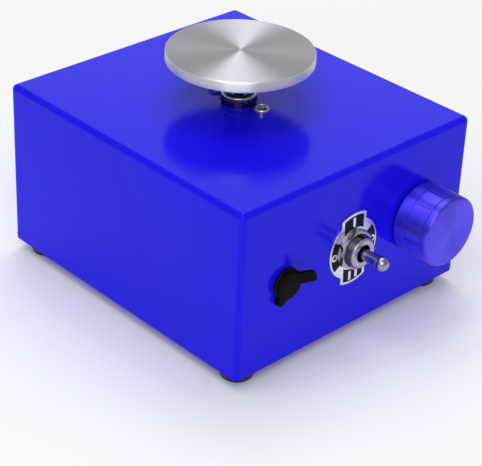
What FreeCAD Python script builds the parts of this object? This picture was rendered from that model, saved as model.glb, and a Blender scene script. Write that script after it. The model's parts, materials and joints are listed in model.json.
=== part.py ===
import FreeCAD, Part
import Sketcher

import math
import os
import re

# Tabletop electric pottery wheel: a folded steel case with a disc-shaped wheel head on a
# direct-drive DC motor, a speed knob, a centre-off reversing toggle switch and a capped DC socket.
# Millimetres, +Z up, the control face towards -Y. The origin is on the table, under the middle of
# the whole object. Every size is a cell of the sheet "dims"; expressions below name those cells.

DIMENSIONS = {
    # folded case and base plate
    "case_width": 135,
    "case_depth": 149,
    "case_height": 78,
    "sheet_gauge": 1.2,
    "bend_radius": 2.5,
    "lip_width": 12,
    "plate_gap": 0.3,
    # rubber feet and their screws
    "foot_radius": 7.5,
    "foot_height": 6,
    "foot_inset": 10.5,
    "foot_hole_radius": 1.7,
    # wheel head and hub
    "head_radius": 32.5,
    "head_thickness": 5,
    "head_rise": 24,
    "head_chamfer": 0.5,
    "hub_flange_radius": 11,
    "hub_flange_thickness": 3,
    "hub_radius": 6,
    "hub_length": 13.5,
    "hub_screw_reach": 8.4,
    "shaft_radius": 2.5,
    "shaft_pocket": 2.8,
    # 42 mm DC motor
    "can_radius": 21.2,
    "can_length": 56,
    "can_wall": 1.5,
    "motor_length": 66.7,
    "boss_radius": 7.9,
    "boss_rim_radius": 7.4,
    "boss_height": 5.1,
    "panel_hole_radius": 8.4,
    "motor_screw_reach": 14.5,
    "motor_screw_radius": 2,
    "flux_ring_radius": 22.3,
    "flux_ring_length": 38,
    "magnet_radius": 15.9,
    "magnet_arc": 130,
    "core_radius": 15.4,
    "core_length": 34,
    "core_drop": 11,
    "commutator_radius": 6,
    "commutator_drop": 50,
    "bearing_radius": 7,
    "bearing_width": 4.5,
    "ball_radius": 1.3,
    "rear_boss_radius": 7,
    "rear_boss_length": 3.3,
    # where the controls sit on the front panel, from its middle and its bottom edge
    "knob_across": 37.2,
    "knob_up": 40,
    "switch_across": -2.9,
    "switch_up": 39.1,
    "socket_across": -42,
    "socket_up": 37.7,
    # speed knob and potentiometer
    "knob_radius": 16,
    "knob_length": 18.3,
    "knob_gap": 1.3,
    "knob_groove": 0.4,
    "pot_radius": 12,
    "pot_depth": 9.5,
    "pot_bushing_radius": 4.5,
    "pot_bushing_reach": 6.5,
    "pot_shaft_radius": 3,
    # toggle switch
    "legend_radius": 14,
    "legend_tab_radius": 17,
    "legend_tab_width": 14.4,
    "legend_turn": 3,
    "legend_thickness": 0.8,
    "bushing_radius": 7.25,
    "bushing_reach": 6.8,
    "bushing_bore": 4.45,
    "bushing_mouth": 3.9,
    "nut_across": 17,
    "nut_thickness": 2,
    "lever_reach": 20,
    "lever_tip_radius": 3.2,
    "lever_neck_radius": 2.3,
    "lever_ball_radius": 4.2,
    "lever_pivot": 1.5,
    "switch_width": 18,
    "switch_height": 32,
    "switch_depth": 22,
    # DC socket and its rubber cap
    "socket_radius": 5.9,
    "socket_flange_radius": 6.9,
    "socket_flange_thickness": 0.8,
    "socket_length": 13,
    "socket_bore": 2.85,
    "socket_pin_radius": 1,
    "cap_radius": 7,
    "cap_thickness": 1.6,
    "cap_ring_thickness": 0.6,
    "cap_strap_reach": 9.1,
    "cap_lean": 60,
    "cap_tab_turn": -36,
    "cap_tab_rise": 45,
    # speed controller board
    "board_width": 34,
    "board_length": 60,
    "board_thickness": 1.6,
    "board_across": 40,
    "board_back": 33,
    "standoff_height": 6,
    "standoff_across": 22,
    "standoff_along": 40,
    "wire_radius": 0.8,
}

doc = FreeCAD.newDocument("pottery_wheel")
dims = doc.addObject("Spreadsheet::Sheet", "dims")
for row, (alias, size) in enumerate(DIMENSIONS.items(), start=1):
    dims.set(f"A{row}", alias)
    dims.set(f"B{row}", str(size))
    dims.setAlias(f"B{row}", alias)
doc.recompute()

NODES = []

# Places that several sub-parts share, as expressions over the sheet.
FRONT = "(lever_reach - case_depth) / 2"
AXIS_Y = f"({FRONT} + case_depth / 2)"
PANEL_TOP = "(foot_height + case_height)"
MOTOR_FACE = f"({PANEL_TOP} - sheet_gauge)"
HEAD_UNDER = f"({PANEL_TOP} + head_rise - head_thickness)"
KNOB = ("knob_across", "foot_height + knob_up")
SWITCH = ("switch_across", "foot_height + switch_up")
SOCKET = ("socket_across", "foot_height + socket_up")
OUTWARD = FreeCAD.Rotation(FreeCAD.Vector(1, 0, 0), 90)


# ---------------------------------------------------------------- helpers
def bound(expression):
    """The expression with each dimension name written as a cell of the sheet."""
    return re.sub(
        r"[a-z_]+",
        lambda word: "dims." + word.group() if word.group() in DIMENSIONS else word.group(),
        str(expression),
    )


def value(expression):
    return float(dims.evalExpression(bound(expression).replace("dims.", "")))


def sized(item, **sizes):
    """Binds the item's properties to expressions over the sheet."""
    for name, expression in sizes.items():
        item.setExpression(name, bound(expression))
    return item


def place(item, x=0, y=0, z=0, rotation=None):
    item.Placement = FreeCAD.Placement(FreeCAD.Vector(), rotation or FreeCAD.Rotation())
    for axis, expression in zip("xyz", (x, y, z)):
        item.setExpression("Placement.Base." + axis, bound(expression))
    return item


def node(item, label):
    """Marks the item as a finished sub-part, exported under this name."""
    item.Label = label
    NODES.append(item)
    return item


def on_axis(item, z):
    """Puts an item modelled about its own Z on the wheel's axis."""
    return place(item, 0, AXIS_Y, z)


def on_panel(item, spot):
    """Puts a control on the front panel: its own +Z points out of the panel's outer face."""
    return place(item, spot[0], FRONT, spot[1], OUTWARD)


def cylinder(name, radius, height, x=0, y=0, z=0, rotation=None):
    item = doc.addObject("Part::Cylinder", name)
    return place(sized(item, Radius=radius, Height=height), x, y, z, rotation)


def cone(name, radius_low, radius_high, height, z=0):
    item = doc.addObject("Part::Cone", name)
    return place(sized(item, Radius1=radius_low, Radius2=radius_high, Height=height), 0, 0, z)


def ball(name, radius, x=0, y=0, z=0):
    return place(sized(doc.addObject("Part::Sphere", name), Radius=radius), x, y, z)


def block(name, length, width, height, x=0, y=0, z=0):
    """A box centred on x and y, standing on z."""
    item = sized(doc.addObject("Part::Box", name), Length=length, Width=width, Height=height)
    return place(item, f"({x}) - ({length}) / 2", f"({y}) - ({width}) / 2", z)


def hexagon(name, across, height, z=0):
    item = doc.addObject("Part::Prism", name)
    item.Polygon = 6
    return place(sized(item, Circumradius=f"({across}) / sqrt(3)", Height=height), 0, 0, z)


def cut(name, base, *tools):
    for number, tool in enumerate(tools, start=1):
        step = doc.addObject("Part::Cut", name if number == len(tools) else f"{name}_cut{number}")
        step.Base, step.Tool = base, tool
        base = step
    return base


def fuse(name, *shapes):
    item = doc.addObject("Part::MultiFuse", name)
    item.Shapes = list(shapes)
    return item


def common(name, *shapes):
    item = doc.addObject("Part::MultiCommon", name)
    item.Shapes = list(shapes)
    return item


def group(name, *shapes):
    """Several separate solids in one sub-part, such as a set of screws."""
    item = doc.addObject("Part::Compound", name)
    item.Links = list(shapes)
    return item


def ring(name, outer, inner, height, z=0):
    """A plain tube about Z. The tool passes through both ends."""
    bore = cylinder(name + "_bore", inner, f"({height}) + 2", z=f"({z}) - 1")
    return cut(name, cylinder(name + "_outer", outer, height, z=z), bore)


def sketch_on(body, role, name, offset=0):
    """A sketch on one of the body's own origin planes, moved along the plane's normal."""
    plane = next(item for item in body.Origin.OriginFeatures if item.Role == role)
    sketch = body.newObject("Sketcher::SketchObject", name)
    sketch.AttachmentSupport = [(plane, "")]
    sketch.MapMode = "FlatFace"
    sketch.setExpression("AttachmentOffset.Base.z", bound(offset))
    return sketch


def fix_point(sketch, geometry, point, across, up):
    """Holds one point of a sketch at two sheet-bound distances from the sketch's origin."""
    for kind, expression in (("DistanceX", across), ("DistanceY", up)):
        distance = value(expression)
        ends = (-1, 1, geometry, point) if distance >= 0 else (geometry, point, -1, 1)
        index = sketch.addConstraint(Sketcher.Constraint(kind, *ends, abs(distance)))
        signed = expression if distance >= 0 else f"-({expression})"
        sketch.setExpression(f"Constraints[{index}]", bound(signed))


def outline(sketch, points):
    """A closed outline of straight lines through points given as pairs of expressions."""
    places = [FreeCAD.Vector(value(across), value(up), 0) for across, up in points]
    first = sketch.GeometryCount
    count = len(points)
    for index in range(count):
        sketch.addGeometry(Part.LineSegment(places[index], places[(index + 1) % count]))
    for index in range(count):
        following = first + (index + 1) % count
        sketch.addConstraint(Sketcher.Constraint("Coincident", first + index, 2, following, 1))
    for index, (across, up) in enumerate(points):
        fix_point(sketch, first + index, 1, across, up)


def rectangle(sketch, width, height, across=0, up=0):
    """A rectangle centred on (across, up)."""
    left, right = f"({across}) - ({width}) / 2", f"({across}) + ({width}) / 2"
    low, high = f"({up}) - ({height}) / 2", f"({up}) + ({height}) / 2"
    outline(sketch, [(left, low), (right, low), (right, high), (left, high)])


def circle(sketch, radius, across=0, up=0):
    centre = FreeCAD.Vector(value(across), value(up), 0)
    index = sketch.addGeometry(Part.Circle(centre, FreeCAD.Vector(0, 0, 1), value(radius)))
    size = sketch.addConstraint(Sketcher.Constraint("Radius", index, value(radius)))
    sketch.setExpression(f"Constraints[{size}]", bound(radius))
    fix_point(sketch, index, 3, across, up)


def pad(body, sketch, length, name):
    feature = body.newObject("PartDesign::Pad", name)
    feature.Profile = sketch
    return sized(feature, Length=length)


def pocket(body, sketch, length, name, reverse=False):
    feature = body.newObject("PartDesign::Pocket", name)
    feature.Profile = sketch
    feature.Reversed = reverse
    return sized(feature, Length=length)


def pattern(body, feature, count, name):
    """Repeats a feature evenly about the body's Z axis."""
    axis = next(item for item in body.Origin.OriginFeatures if item.Role == "Z_Axis")
    polar = body.newObject("PartDesign::PolarPattern", name)
    polar.Originals = [feature]
    polar.Axis = (axis, [""])
    polar.Angle = 360
    polar.Occurrences = count
    body.Tip = polar
    return polar


def turned(name, points):
    """A body made by revolving an outline of (radius, height) pairs about its own Z axis."""
    body = doc.addObject("PartDesign::Body", name)
    profile = sketch_on(body, "XZ_Plane", name + "_profile")
    outline(profile, points)
    turn = body.newObject("PartDesign::Revolution", name + "_turn")
    turn.Profile = profile
    turn.ReferenceAxis = (profile, ["V_Axis"])
    turn.Angle = 360
    return body


def pan_screw(name, radius, length, head_radius, head_height, x=0, y=0, z=0, down=True):
    """A cross-recessed pan-head screw. Its head's underside is at z, and its shank points down."""
    half = f"({head_height}) / 2"
    dome = turned(
        name + "_dome",
        [
            (0, f"-({length})"),
            (radius, f"-({length})"),
            (radius, 0),
            (head_radius, 0),
            (head_radius, half),
            (f"({head_radius}) * 0.9", f"({head_height}) * 0.78"),
            (f"({head_radius}) * 0.62", head_height),
            (0, head_height),
        ],
    )
    slot = f"({head_radius}) * 1.1"
    width = f"({head_radius}) * 0.24"
    cross = [
        block(name + "_slot_x", slot, width, head_height, z=f"({head_height}) * 0.45"),
        block(name + "_slot_y", width, slot, head_height, z=f"({head_height}) * 0.45"),
    ]
    flip = FreeCAD.Rotation() if down else FreeCAD.Rotation(FreeCAD.Vector(1, 0, 0), 180)
    return place(cut(name, dome, *cross), x, y, z, flip)


# ---------------------------------------------------------------- case, base plate and feet
def corners(inset):
    """The four corners (name, x, y) of a rectangle this far inside the case's outer walls."""
    across = f"(case_width / 2 - {inset})"
    near, far = f"({FRONT} + {inset})", f"({FRONT} + case_depth - {inset})"
    return [
        ("front_left", f"-{across}", near),
        ("front_right", across, near),
        ("rear_left", f"-{across}", far),
        ("rear_right", across, far),
    ]


def housing():
    """Top and four walls folded from one sheet, with a lip inside the bottom edge."""
    body = doc.addObject("PartDesign::Body", "housing")
    shell = sketch_on(body, "XY_Plane", "case_outline")
    rectangle(shell, "case_width", "case_depth", up="case_depth / 2")
    block_pad = pad(body, shell, "case_height", "case_block")
    doc.recompute()
    bends = body.newObject("PartDesign::Fillet", "case_bends")
    folded = [
        f"Edge{number}"
        for number, edge in enumerate(block_pad.Shape.Edges, start=1)
        if edge.BoundBox.ZMax > value("case_height") / 2
    ]
    bends.Base = (block_pad, folded)
    sized(bends, Radius="bend_radius")

    cavity = sketch_on(body, "XY_Plane", "cavity_outline")
    rectangle(
        cavity,
        "case_width - 2 * sheet_gauge",
        "case_depth - 2 * sheet_gauge",
        up="case_depth / 2",
    )
    pocket(body, cavity, "case_height - sheet_gauge", "cavity", reverse=True)

    lip = sketch_on(body, "XY_Plane", "lip_outline", "sheet_gauge")
    rectangle(lip, "case_width - sheet_gauge", "case_depth - sheet_gauge", up="case_depth / 2")
    rectangle(
        lip,
        "case_width - 2 * sheet_gauge - 2 * lip_width",
        "case_depth - 2 * sheet_gauge - 2 * lip_width",
        up="case_depth / 2",
    )
    pad(body, lip, "sheet_gauge", "lip")

    screws = sketch_on(body, "XY_Plane", "lip_holes", "2 * sheet_gauge")
    for sign in ("-", ""):
        for up in ("foot_inset", "case_depth - foot_inset"):
            circle(screws, "foot_hole_radius", f"{sign}(case_width / 2 - foot_inset)", up)
    pocket(body, screws, "sheet_gauge", "lip_drilling")

    top = sketch_on(body, "XY_Plane", "top_holes", "case_height")
    circle(top, "panel_hole_radius", 0, "case_depth / 2")
    for sign in ("-", "+"):
        circle(top, "motor_screw_radius + 0.25", 0, f"case_depth / 2 {sign} motor_screw_reach")
    pocket(body, top, "2 * sheet_gauge", "top_punching")

    front = sketch_on(body, "XZ_Plane", "front_holes")
    circle(front, "pot_bushing_radius + 0.2", "knob_across", "knob_up")
    circle(front, "bushing_radius + 0.15", "switch_across", "switch_up")
    circle(front, "socket_radius + 0.2", "socket_across", "socket_up")
    pocket(body, front, "2 * sheet_gauge", "front_punching")
    node(place(body, 0, FRONT, "foot_height"), "housing")


def base_plate():
    body = doc.addObject("PartDesign::Body", "base_plate")
    sheet = sketch_on(body, "XY_Plane", "base_outline")
    rectangle(
        sheet,
        "case_width - 2 * sheet_gauge - 2 * plate_gap",
        "case_depth - 2 * sheet_gauge - 2 * plate_gap",
        up="case_depth / 2",
    )
    for sign in ("-", ""):
        for up in ("foot_inset", "case_depth - foot_inset"):
            circle(sheet, "foot_hole_radius", f"{sign}(case_width / 2 - foot_inset)", up)
    pad(body, sheet, "sheet_gauge", "base_sheet")
    node(place(body, 0, FRONT, "foot_height"), "base_plate")


def feet():
    """Four turned rubber feet, each held by a screw from below that also holds the base plate."""
    screws, nuts = [], []
    for corner, x, y in corners("foot_inset"):
        foot = turned(
            "foot_" + corner,
            [
                ("foot_hole_radius", 2.6),
                ("foot_hole_radius", "foot_height"),
                ("foot_radius", "foot_height"),
                ("foot_radius - 0.7", 1.2),
                ("foot_radius - 1.1", 0.4),
                ("foot_radius - 1.9", 0),
                (3.6, 0),
                (3.6, 2.6),
            ],
        )
        node(place(foot, x, y, 0), "foot_" + corner)
        screw = pan_screw(
            "foot_screw_" + corner, "foot_hole_radius - 0.1", 8.5, 3, 1.8, x, y, 2.6, down=False
        )
        screws.append(screw)
        nut = cut(
            "case_nut_" + corner,
            hexagon("case_nut_blank_" + corner, 5.5, 2.4),
            cylinder("case_nut_hole_" + corner, "foot_hole_radius - 0.08", 4, z=-1),
        )
        nuts.append(place(nut, x, y, "foot_height + 2 * sheet_gauge"))
    node(group("foot_screws", *screws), "foot_screws")
    node(group("case_nuts", *nuts), "case_nuts")


# ---------------------------------------------------------------- wheel head and hub
def wheel_head():
    """Solid turned disc. Its shaft pocket and tapped holes are blind, so the top is plain."""
    body = turned(
        "wheel_head",
        [
            (0, "shaft_pocket + 0.2"),
            ("shaft_radius + 0.02", "shaft_pocket + 0.2"),
            ("shaft_radius + 0.02", 0),
            ("head_radius - head_chamfer", 0),
            ("head_radius", "head_chamfer"),
            ("head_radius", "head_thickness - head_chamfer"),
            ("head_radius - head_chamfer", "head_thickness"),
            (0, "head_thickness"),
        ],
    )
    tapped = sketch_on(body, "XY_Plane", "head_tapped_hole")
    circle(tapped, 1.25, "hub_screw_reach", 0)
    drilling = pocket(body, tapped, 3, "head_drilling", reverse=True)
    pattern(body, drilling, 4, "head_drillings")
    node(on_axis(body, HEAD_UNDER), "wheel_head")


def wheel_hub():
    """Flanged coupling: four screws hold the disc, one set screw grips the shaft."""
    body = turned(
        "hub_blank",
        [
            ("shaft_radius + 0.02", "-hub_length"),
            ("hub_radius - 0.5", "-hub_length"),
            ("hub_radius", "-hub_length + 0.5"),
            ("hub_radius", "-hub_flange_thickness"),
            ("hub_flange_radius", "-hub_flange_thickness"),
            ("hub_flange_radius", 0),
            ("shaft_radius + 0.02", 0),
        ],
    )
    hole = sketch_on(body, "XY_Plane", "hub_hole")
    circle(hole, 1.4, "hub_screw_reach", 0)
    drilling = pocket(body, hole, "hub_flange_thickness", "hub_drilling")
    pattern(body, drilling, 4, "hub_drillings")
    side = cylinder(
        "hub_set_hole",
        1.6,
        "hub_radius + 1",
        z="-hub_length + 4",
        rotation=FreeCAD.Rotation(FreeCAD.Vector(1, 0, 0), 90),
    )
    node(on_axis(cut("hub_drilled", body, side), HEAD_UNDER), "wheel_hub")


def hub_fasteners():
    """Four screws into the disc and the set screw in the hub's side."""
    screws = []
    for number in range(4):
        angle = f"{90 * number} deg"
        x, y = f"hub_screw_reach * cos({angle})", f"hub_screw_reach * sin({angle})"
        screws.append(
            pan_screw(
                f"hub_screw_{number + 1}", 1.2, "hub_flange_thickness + 2.5", 2.2, 1.4,
                x, y, "-hub_flange_thickness", down=False,
            )
        )
    grub = cut(
        "hub_set_screw",
        cylinder("grub_thread", 1.55, "hub_radius - shaft_radius - 0.4"),
        hexagon("grub_socket", 1.5, 2, z="hub_radius - shaft_radius - 1.9"),
    )
    screws.append(place(grub, 0, "-shaft_radius - 0.1", "-hub_length + 4", OUTWARD))
    node(on_axis(group("hub_screws", *screws), HEAD_UNDER), "hub_screws")


# ---------------------------------------------------------------- motor, still parts
def motor_can():
    """Drawn steel can. Its front face bolts under the top panel and its bearing boss stands
    through the panel's hole."""
    body = turned(
        "motor_can",
        [
            ("can_radius - can_wall", "-can_length"),
            ("can_radius", "-can_length"),
            ("can_radius", -1),
            ("can_radius - 1", 0),
            ("boss_radius", 0),
            ("boss_radius", "boss_height - 2.2"),
            ("boss_rim_radius + 0.2", "boss_height - 0.3"),
            ("boss_rim_radius", "boss_height"),
            ("bearing_radius + 0.02", "boss_height"),
            ("bearing_radius + 0.02", "boss_height - 0.9 - bearing_width"),
            (5, "boss_height - 0.9 - bearing_width"),
            (5, -2.2),
            ("can_radius - can_wall", -2.2),
        ],
    )
    tapped = sketch_on(body, "XY_Plane", "motor_tapped_holes")
    for sign in ("-", ""):
        circle(tapped, "motor_screw_radius", 0, f"{sign}motor_screw_reach")
    pocket(body, tapped, 3, "motor_tapping")
    vent = sketch_on(body, "XY_Plane", "motor_vent")
    outline(
        vent,
        [
            ("boss_radius + 2.2", -3),
            ("can_radius - 4", -4.5),
            ("can_radius - 4", 4.5),
            ("boss_radius + 2.2", 3),
        ],
    )
    pattern(body, pocket(body, vent, 3, "motor_venting"), 2, "motor_vents")
    node(on_axis(body, MOTOR_FACE), "motor_can")


def motor_flux_ring():
    span = ring("motor_flux_ring", "flux_ring_radius", "can_radius + 0.02", "flux_ring_length")
    node(on_axis(span, f"{MOTOR_FACE} - 8 - flux_ring_length"), "motor_flux_ring")


def motor_magnets():
    """Two ferrite arcs glued inside the can."""
    arcs = []
    for number in range(2):
        outer = cylinder(f"magnet_outer_{number}", "can_radius - can_wall - 0.02", "flux_ring_length")
        inner = cylinder(f"magnet_inner_{number}", "magnet_radius", "flux_ring_length + 2", z=-1)
        for arc in (outer, inner):
            sized(arc, Angle="magnet_arc" if arc is outer else "360")
        magnet = cut(f"magnet_{number}", outer, inner)
        turn = FreeCAD.Rotation(FreeCAD.Vector(0, 0, 1), 180 * number - value("magnet_arc") / 2)
        arcs.append(place(magnet, 0, 0, 0, turn))
    drop = f"{MOTOR_FACE} - 8 - flux_ring_length"
    node(on_axis(group("motor_magnets", *arcs), drop), "motor_magnets")


def motor_end_cap():
    """Moulded rear cover with the rear bushing's seat and slots for the terminals."""
    low = "-motor_length"
    body = turned(
        "end_cap_blank",
        [
            (5.02, f"{low} - rear_boss_length"),
            ("rear_boss_radius", f"{low} - rear_boss_length"),
            ("rear_boss_radius", low),
            ("can_radius - 0.8", low),
            ("can_radius", f"{low} + 0.8"),
            ("can_radius", "-can_length"),
            ("can_radius - 2", "-can_length"),
            ("can_radius - 2", f"{low} + 2.5"),
            (5.02, f"{low} + 2.5"),
        ],
    )
    slots = [
        block(f"end_cap_slot_{side}", 1, 5, 5, x=f"{side}14", z=f"{low} - 1") for side in ("-", "+")
    ]
    node(on_axis(cut("end_cap_slotted", body, *slots), MOTOR_FACE), "motor_end_cap")


def motor_bearings():
    """Ball bearing in the front boss and a sintered bushing at the rear."""
    low = "boss_height - 0.9 - bearing_width"
    race = [("bearing_radius", low), ("bearing_radius", "boss_height - 0.9")]
    middle = "boss_height - 0.9 - bearing_width / 2"
    outer = turned("outer_race_blank", race + [(5.5, "boss_height - 0.9"), (5.5, low)])
    groove = doc.addObject("Part::Torus", "outer_race_groove")
    place(sized(groove, Radius1=4.75, Radius2="ball_radius + 0.06"), 0, 0, middle)
    outer_ring = cut("outer_race", outer, groove)
    node(on_axis(outer_ring, MOTOR_FACE), "bearing_outer_ring")

    inner = ring("inner_race_blank", 4, "shaft_radius + 0.01", "bearing_width", z=low)
    track = doc.addObject("Part::Torus", "inner_race_groove")
    place(sized(track, Radius1=4.75, Radius2="ball_radius + 0.06"), 0, 0, middle)
    node(on_axis(cut("inner_race", inner, track), MOTOR_FACE), "bearing_inner_ring")

    count = 7
    balls = [
        ball(
            f"bearing_ball_{number}",
            "ball_radius",
            f"4.75 * cos({360 * number / count:.4f} deg)",
            f"4.75 * sin({360 * number / count:.4f} deg)",
            middle,
        )
        for number in range(count)
    ]
    node(on_axis(group("bearing_balls", *balls), MOTOR_FACE), "bearing_balls")

    bush = ring("motor_rear_bushing", 5, "shaft_radius + 0.04", "rear_boss_length + 2.5")
    node(on_axis(bush, f"{MOTOR_FACE} - motor_length - rear_boss_length"), "motor_rear_bushing")


def motor_brushes():
    """Two carbon brushes in brass holders, and the two solder tabs outside the end cap."""
    brushes, holders, tabs = [], [], []
    middle = "-commutator_drop - 6"
    for number, side in enumerate(("-", "+")):
        inner = "commutator_radius + 0.3"
        brushes.append(block(f"brush_{number}", 7, 4, 4, f"{side}({inner} + 3.5)", 0, f"{middle} - 2"))
        sleeve = block(f"holder_{number}", 8, 5.6, 5.6, f"{side}({inner} + 5)", 0, f"{middle} - 2.8")
        slot = block(f"holder_slot_{number}", 10, 4.04, 4.04, f"{side}({inner} + 5)", 0, f"{middle} - 2.02")
        holders.append(cut(f"brush_holder_{number}", sleeve, slot))
        tabs.append(
            block(f"tab_{number}", 0.8, 4.8, 9, f"{side}14", 0, "-motor_length - 5")
        )
    node(on_axis(group("motor_brushes", *brushes), MOTOR_FACE), "motor_brushes")
    node(on_axis(group("brush_holders", *holders), MOTOR_FACE), "brush_holders")
    node(on_axis(group("motor_terminals", *tabs), MOTOR_FACE), "motor_terminals")


def motor_screws():
    """Two pan-head screws through the top panel into the motor's face."""
    screws = [
        pan_screw(
            f"motor_screw_{number}", "motor_screw_radius - 0.02", 3.3, 3.6, 2.4,
            0, f"{side}motor_screw_reach",
        )
        for number, side in enumerate(("-", "+"))
    ]
    node(on_axis(group("motor_screws", *screws), PANEL_TOP), "motor_screws")


# ---------------------------------------------------------------- motor, turning parts
def motor_shaft():
    low = "motor_length + rear_boss_length - 0.5"
    high = "head_rise - head_thickness + sheet_gauge + shaft_pocket"
    shaft = turned(
        "motor_shaft",
        [
            (0, f"-({low})"),
            ("shaft_radius - 0.4", f"-({low})"),
            ("shaft_radius", f"-({low}) + 0.4"),
            ("shaft_radius", f"{high} - 0.4"),
            ("shaft_radius - 0.4", high),
            (0, high),
        ],
    )
    node(on_axis(shaft, MOTOR_FACE), "motor_shaft")


def armature():
    """Five-pole laminated core, its copper windings and the segmented commutator."""
    core = doc.addObject("PartDesign::Body", "armature_core")
    disc = sketch_on(core, "XY_Plane", "core_outline")
    circle(disc, "core_radius")
    circle(disc, "shaft_radius + 0.01")
    pad(core, disc, "core_length", "core_stack")
    slot = sketch_on(core, "XY_Plane", "core_slot")
    outline(
        slot,
        [
            (7, -1.5),
            (12.5, -4.2),
            (13.2, -1.2),
            ("core_radius + 1", -1.2),
            ("core_radius + 1", 1.2),
            (13.2, 1.2),
            (12.5, 4.2),
            (7, 1.5),
        ],
    )
    pattern(core, pocket(core, slot, "core_length", "core_slotting", reverse=True), 5, "core_slots")
    node(on_axis(core, f"{MOTOR_FACE} - core_drop - core_length"), "armature_core")

    coils = doc.addObject("PartDesign::Body", "armature_windings")
    turns = sketch_on(coils, "XY_Plane", "winding_turns_low", -4)
    circle(turns, 13.2)
    circle(turns, 4.5)
    pad(coils, turns, 3.8, "winding_end_low")
    bundle = sketch_on(coils, "XY_Plane", "winding_bundle", -4)
    outline(bundle, [(7.3, -1.2), (12.2, -3.6), (12.7, -1.3), (12.7, 1.3), (12.2, 3.6), (7.3, 1.2)])
    pattern(coils, pad(coils, bundle, "core_length + 8", "winding_pad"), 5, "winding_bundles")
    upper = sketch_on(coils, "XY_Plane", "winding_turns_high", "core_length + 0.2")
    circle(upper, 13.2)
    circle(upper, 4.5)
    pad(coils, upper, 3.8, "winding_end_high")
    node(on_axis(coils, f"{MOTOR_FACE} - core_drop - core_length"), "armature_windings")

    bars = doc.addObject("PartDesign::Body", "commutator")
    tube = sketch_on(bars, "XY_Plane", "commutator_outline")
    circle(tube, "commutator_radius")
    circle(tube, "shaft_radius + 0.01")
    pad(bars, tube, 12, "commutator_tube")
    gap = sketch_on(bars, "XY_Plane", "commutator_gap")
    rectangle(gap, 2, 0.5, "commutator_radius")
    pattern(bars, pocket(bars, gap, 10, "commutator_slit", reverse=True), 5, "commutator_slits")
    node(on_axis(bars, f"{MOTOR_FACE} - commutator_drop - 12"), "commutator")


# ---------------------------------------------------------------- speed knob and potentiometer
def knob_shell():
    """Turned cap: plain bands at both ends, and between them a belt with narrow axial grooves."""
    front = "knob_gap + knob_length"
    belt_low, belt_high = "knob_gap + 5.4", f"{front} - 3.4"
    deep = "knob_radius - knob_groove"
    body = turned(
        "knob_shell",
        [
            (11.2, "knob_gap"),
            ("knob_radius - 0.3", "knob_gap"),
            ("knob_radius", "knob_gap + 0.3"),
            ("knob_radius", f"{belt_low} - 0.3"),
            (deep, f"{belt_low} - 0.15"),
            (deep, f"{belt_low} + 0.15"),
            ("knob_radius", f"{belt_low} + 0.3"),
            ("knob_radius", f"{belt_high} - 0.3"),
            (deep, f"{belt_high} - 0.15"),
            (deep, f"{belt_high} + 0.15"),
            ("knob_radius", f"{belt_high} + 0.3"),
            ("knob_radius", f"{front} - 0.9"),
            ("knob_radius - 0.9", front),
            (0, front),
            (0, f"{front} - 2.5"),
            (11.2, f"{front} - 2.5"),
        ],
    )
    groove = sketch_on(body, "XY_Plane", "knob_groove_section", f"{belt_low} + 0.9")
    rectangle(groove, "2 * knob_groove", 0.5, "knob_radius")
    length = f"({belt_high}) - ({belt_low}) - 1.8"
    cutting = pocket(body, groove, length, "knob_grooving", reverse=True)
    pattern(body, cutting, 12, "knob_grooves")
    node(on_panel(body, KNOB), "knob_shell")


def knob_insert():
    """Moulded core that fills the shell and grips the potentiometer's shaft."""
    front = "knob_gap + knob_length - 2.5"
    core = turned(
        "knob_insert",
        [
            ("pot_shaft_radius + 0.01", "knob_gap + 6"),
            (8.8, "knob_gap + 6"),
            (8.8, "knob_gap + 0.4"),
            (11.18, "knob_gap + 0.4"),
            (11.18, front),
            ("pot_shaft_radius + 0.01", front),
        ],
    )
    node(on_panel(core, KNOB), "knob_insert")


def pot_tabs(name):
    """Three solder tabs out of the potentiometer's lower edge."""
    return [
        block(f"{name}_{column}", 1.6, 9, 0.6, 5 * column, "-pot_radius - 2.2", "-sheet_gauge - 4")
        for column in (-1, 0, 1)
    ]


def potentiometer():
    """Rotary potentiometer: steel can and threaded bushing, a shaft, washer, nut and three tabs."""
    can = turned(
        "pot_can",
        [
            ("pot_shaft_radius + 0.05", "-sheet_gauge - pot_depth + 1"),
            (7, "-sheet_gauge - pot_depth + 1"),
            (7, "-sheet_gauge - pot_depth"),
            ("pot_radius - 1", "-sheet_gauge - pot_depth"),
            ("pot_radius", "-sheet_gauge - pot_depth + 1"),
            ("pot_radius", "-sheet_gauge - 0.5"),
            ("pot_radius - 0.5", "-sheet_gauge"),
            ("pot_bushing_radius", "-sheet_gauge"),
            ("pot_bushing_radius", "pot_bushing_reach - 0.4"),
            ("pot_bushing_radius - 0.4", "pot_bushing_reach"),
            ("pot_shaft_radius + 0.05", "pot_bushing_reach"),
        ],
    )
    slotted = cut("pot_can_slotted", can, *pot_tabs("pot_tab_slot"))
    node(on_panel(slotted, KNOB), "pot_housing")

    shaft = turned(
        "pot_shaft",
        [
            (0, "-sheet_gauge - pot_depth + 1.2"),
            ("pot_shaft_radius", "-sheet_gauge - pot_depth + 1.2"),
            ("pot_shaft_radius", "knob_gap + knob_length - 3.3"),
            ("pot_shaft_radius - 0.5", "knob_gap + knob_length - 2.8"),
            (0, "knob_gap + knob_length - 2.8"),
        ],
    )
    node(on_panel(shaft, KNOB), "pot_shaft")

    washer = ring("pot_washer", 7.5, "pot_bushing_radius + 0.1", 0.5)
    node(on_panel(washer, KNOB), "pot_washer")
    nut = cut(
        "pot_nut",
        hexagon("pot_nut_blank", 12, 2.2, z=0.5),
        cylinder("pot_nut_hole", "pot_bushing_radius + 0.02", 4),
    )
    node(on_panel(nut, KNOB), "pot_nut")
    node(on_panel(group("pot_terminals", *pot_tabs("pot_tab")), KNOB), "pot_terminals")


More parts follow.
